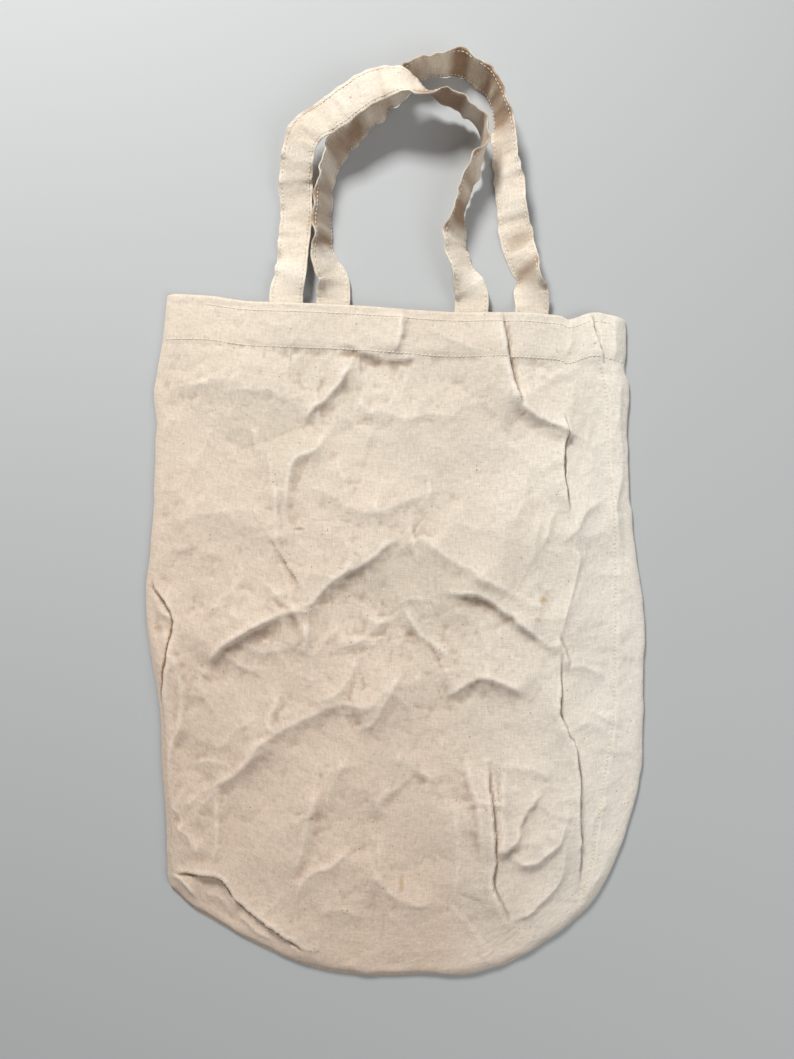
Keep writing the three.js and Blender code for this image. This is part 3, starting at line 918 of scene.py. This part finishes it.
def strap_row(line, a):
    """The path of a row on a strap's upper side, at a from -1 to 1 across."""
    end_gap = 8
    s = np.arange(end_gap, line.length - end_gap, STITCH)
    points = line.surface(s, np.full(s.shape, a), np.full(s.shape, STRAP_THICK / 2))
    points[:, 2] = np.maximum(points[:, 2], 0.6)
    return [(place(*point), Vector(out)) for point, out in zip(points, line.at(s)[2])]


def shifted(points, dx, dy):
    return [(x + dx, y + dy) for x, y in points]


UNDER_MOUTH = [(-170, -0.5), *MOUTH[1:-1], (169, -1)]  # the mouth's line, with its ends drawn in
BESIDE_SEAM = 2.2  # from the seam's line to its row
top_path = front_row(shifted(MOUTH[1:-1], 0, -TOP_ROW))
lower_path = front_row(shifted(UNDER_MOUTH, 0, -LOWER_ROW))
seam_path = front_row(shifted(SEAM[1:], -BESIDE_SEAM, 0))
top_row = stitches("front_hem_top_row", top_path, HEM_STITCH_THICK)
lower_row = stitches("front_hem_lower_row", lower_path, HEM_STITCH_THICK)
seam_row = stitches("side_seam_row", seam_path, HEM_STITCH_THICK)
edge_rows = {}
for name, line in (("front_handle", front_line), ("back_handle", back_line)):
    for side, a in (("outer", -EDGE_ROW), ("inner", EDGE_ROW)):
        edge_rows[name, side] = stitches(f"{name}_{side}_row", strap_row(line, a))

# ---- Seams inside the bag ----

STRIP_STEP = 2  # length of a strip's faces


def inner_strip(name, points, width, seed):
    """A seam allowance, lying flat inside the bag: two layers with a frayed, slightly wavy free edge."""
    line = smooth_line(points)
    count = int(length_of(line) / STRIP_STEP)
    mesh, u, v = grid_mesh(name, 8, count)
    path = evenly(line, count + 1)
    row = np.clip(np.round(v * count).astype(int), 0, count)
    ahead = path[np.minimum(row + 1, count)] - path[np.maximum(row - 1, 0)]
    ahead /= np.linalg.norm(ahead, axis=1, keepdims=True)
    fray = 0.5 * noise(path[row, 0], path[row, 1], 2.5, seed) * u
    reach = (u - 0.5) * width + fray
    x = path[row, 0] - ahead[:, 1] * reach
    y = path[row, 1] + ahead[:, 0] * reach
    z = INSIDE - 0.3 + 0.5 * noise(x, y, 9, seed + 1) * u
    set_points(mesh, x, y, z)
    length = STRIP_STEP * count
    set_cloth_map(mesh, u * width, v * length)
    strip = add_object(name, mesh, BAG_CANVAS)
    wall = strip.modifiers.new("layers", "SOLIDIFY")
    wall.thickness = ALLOWANCE_THICK * MM
    wall.offset = 0
    return strip, (width * MM, length * MM)


def moved_in(side, inset, low):
    """A side of the outline from the hem down to y = low, moved inwards."""
    return [(x + inset, y) for x, y in side if low < y <= -HEM]


LEFT_INNER = moved_in(LEFT_SIDE, 23, -400)
RIGHT_INNER = moved_in(RIGHT_SIDE, -24, -360)
BOTTOM_INNER = shifted(BOTTOM[3:-3], 0, 9)
LEFT_EAR = [(-124, -408), (-108, -420), (-90, -434)]
RIGHT_EAR = [(118, -436), (134, -420), (148, -402)]
inner_strips = [
    (*inner_strip("left_seam_strip", LEFT_INNER, 10, 90), "left_seam_allowance"),
    (*inner_strip("right_seam_strip", RIGHT_INNER, 10, 92), "right_seam_allowance"),
    (*inner_strip("bottom_seam_strip", BOTTOM_INNER, 11, 94), "bottom_seam_allowance"),
    (*inner_strip("left_corner_strip", LEFT_EAR, 12, 96), "left_boxed_corner_seam"),
    (*inner_strip("right_corner_strip", RIGHT_EAR, 12, 98), "right_boxed_corner_seam"),
]


def flat_row(points, z, facing):
    """The path of a row at one height, on cloth that faces up (1) or down (-1)."""
    line = smooth_line(points, 1)
    path = evenly(line, int(length_of(line) / STITCH))
    return [(place(x, y, z), Vector((0, 0, facing))) for x, y in path]


def square_row(line, s, facing):
    """The path of the square of stitches through a sewn tail, at length s along its strap."""
    x, y, z = line.at(np.array([s]))[0][0]
    half = SQUARE / 2
    corners = [(-half, -half), (half, -half), (half, half), (-half, half), (-half, -half)]
    return flat_row(shifted(corners, x, y), z + facing * (STRAP_THICK / 2 + 0.1), facing)


def back_hem_row(row):
    """The path of a row on the back hem's inner face, that far below the mouth edge."""
    y = -row - BACK_DROP
    return flat_row([(-BACK_ROW_HALF, y), (BACK_ROW_HALF, y)], BACK_TOP, 1)


hidden_rows = {
    "back_hem_top_stitching": back_hem_row(TOP_ROW),
    "back_hem_lower_stitching": back_hem_row(LOWER_ROW),
    "left_seam_topstitching": flat_row(LEFT_INNER, INSIDE + ALLOWANCE_THICK / 2, 1),
    "front_handle_left_tail_stitching": square_row(front_line, SQUARE_AT, -1),
    "front_handle_right_tail_stitching": square_row(front_line, front_line.length - SQUARE_AT, -1),
    "back_handle_left_tail_stitching": square_row(back_line, SQUARE_AT, 1),
    "back_handle_right_tail_stitching": square_row(back_line, back_line.length - SQUARE_AT, 1),
}

# ---- What rides on what ----


def on_lid(piece):
    """Bakes the piece's place into its mesh."""
    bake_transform(piece)


def on_loop(piece):
    """Bakes the piece's place into its mesh."""
    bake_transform(piece)


def stands_for(piece, slot, *nodes):
    """Hides the CAD nodes that a piece takes the place of. The piece and the slot are not used."""
    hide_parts(*nodes)


stands_for(front, "bag_canvas", "front_panel", "front_hem")
on_lid(front)
stands_for(back, "bag_canvas", "back_panel", "back_hem")
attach(back, "back_side")
for piece, node in (
    (top_row, "front_hem_top_stitching"),
    (lower_row, "front_hem_lower_stitching"),
    (seam_row, "right_seam_topstitching"),
):
    stands_for(piece, "cotton_thread", node)
    on_lid(piece)
for piece, side, handle, line in (
    (front_strap, "front_side", "front_handle", front_line),
    (back_strap, "back_side", "back_handle", back_line),
):
    stands_for(piece, "strap_canvas", handle, f"{handle}_left_tail", f"{handle}_right_tail")
    on_loop(piece)
    for edge in ("outer", "inner"):
        row = edge_rows[handle, edge]
        stands_for(row, "cotton_thread", f"{handle}_{edge}_stitching")
        on_loop(row)
for strip, flat, node in inner_strips:
    stands_for(strip, "bag_canvas", node)
    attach(strip, "back_side")
for node, path in hidden_rows.items():
    row = stitches(node.replace("stitching", "row"), path)
    stands_for(row, "cotton_thread", node)
    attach(row, "front_side" if node.startswith("front_handle") else "back_side")

# ---- Floor, light and camera ----

FLOOR_HALF = 60  # metres
FLOOR_BELOW = 0.2  # millimetres under the bag


def floor():
    """A plain pale floor of matte paper."""
    bm = bmesh.new()
    bmesh.ops.create_grid(bm, x_segments=1, y_segments=1, size=FLOOR_HALF)
    mesh = bpy.data.meshes.new("studio_floor")
    bm.to_mesh(mesh)
    bm.free()
    mesh.transform(Matrix.Translation((0, 0, -FLOOR_BELOW * MM)))
    material = new_material("matte_paper_floor")
    paper = {"Base Color": linear("#b9bdc0"), "Roughness": 0.9}
    shader = add_node(material.node_tree, "BsdfPrincipled", paper)
    add_node(material.node_tree, "OutputMaterial", {0: shader})
    return add_object("studio_floor", mesh, material)


floor()


def area_light(name, spot, target, size, watts, hex_colour):
    """A soft square lamp, with its place, target and size in metres."""
    data = bpy.data.lights.new(name, "AREA")
    data.size = size
    data.energy = watts
    data.color = linear(hex_colour)[:3]
    light = bpy.data.objects.new(name, data)
    light.location = spot
    light.rotation_euler = (Vector(target) - Vector(spot)).to_track_quat("-Z", "Y").to_euler()
    bpy.context.scene.collection.objects.link(light)


area_light("window", (-0.5, 1.1, 0.95), (0, -0.05, 0), 0.32, 24, "#fffdf8")
area_light("fill", (0.85, -0.45, 1.0), (0.12, -0.22, 0), 0.9, 6.5, "#fbfcfb")
world = bpy.data.worlds.new("studio")
world.use_nodes = True
world.node_tree.nodes["Background"].inputs["Color"].default_value = linear("#fff6f2")
world.node_tree.nodes["Background"].inputs["Strength"].default_value = 0.2
bpy.context.scene.world = world
bpy.context.scene.view_settings.view_transform = "Standard"

VIEW_TURN = math.radians(2.8)
VIEW_MIDDLE = (8.0, -164.1)  # what the camera looks straight down at
VIEW_TALL = 778  # what the view takes in from top to bottom, at the height of the cloth
CAMERA_HEIGHT = 610
CLOTH_HEIGHT = 10
SENSOR = 36

camera_data = bpy.data.cameras.new("camera")
camera_data.sensor_fit = "VERTICAL"
camera_data.sensor_height = SENSOR
camera_data.lens = SENSOR * (CAMERA_HEIGHT - CLOTH_HEIGHT) / VIEW_TALL
camera = bpy.data.objects.new("camera", camera_data)
camera.location = place(*VIEW_MIDDLE, CAMERA_HEIGHT)
camera.rotation_euler = (0, 0, VIEW_TURN)
bpy.context.scene.collection.objects.link(camera)
bpy.context.scene.camera = camera
